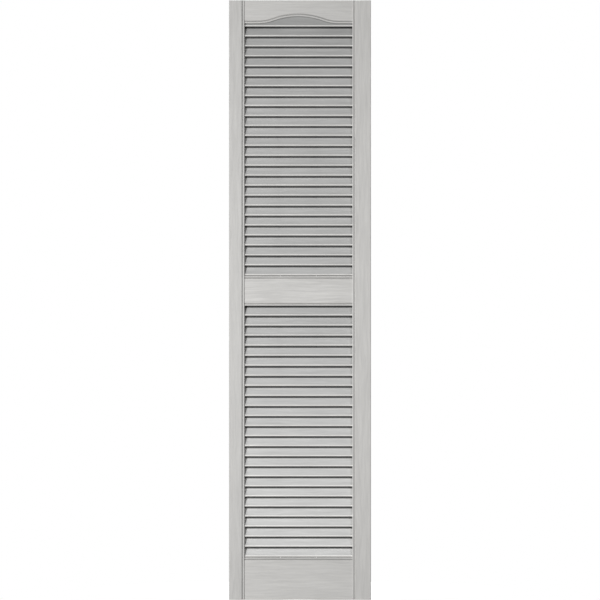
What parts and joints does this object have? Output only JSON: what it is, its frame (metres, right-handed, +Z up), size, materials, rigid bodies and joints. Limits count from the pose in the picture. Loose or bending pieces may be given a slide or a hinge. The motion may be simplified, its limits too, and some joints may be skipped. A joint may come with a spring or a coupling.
{
  "type": "louvred shutter",
  "caption": "Tall exterior window shutter moulded in one piece: beaded stiles, three rails, an arched top rail and two fields of fixed sloping louvres over a hollow ribbed back.",
  "frame": {"origin": "centre of the bottom edge, midway between the stile faces and the wall plane", "axes": "+Z up the panel, +X across it to the viewer's right, +Y from the front towards the wall"},
  "size_m": [0.3682, 0.027, 1.5555],
  "materials": {
    "plastic": "light warm grey through-coloured plastic, satin, with a fine embossed wood grain on the front"
  },
  "bodies": {
    "root": {"shutter": "plastic"}
  },
  "joints": []
}
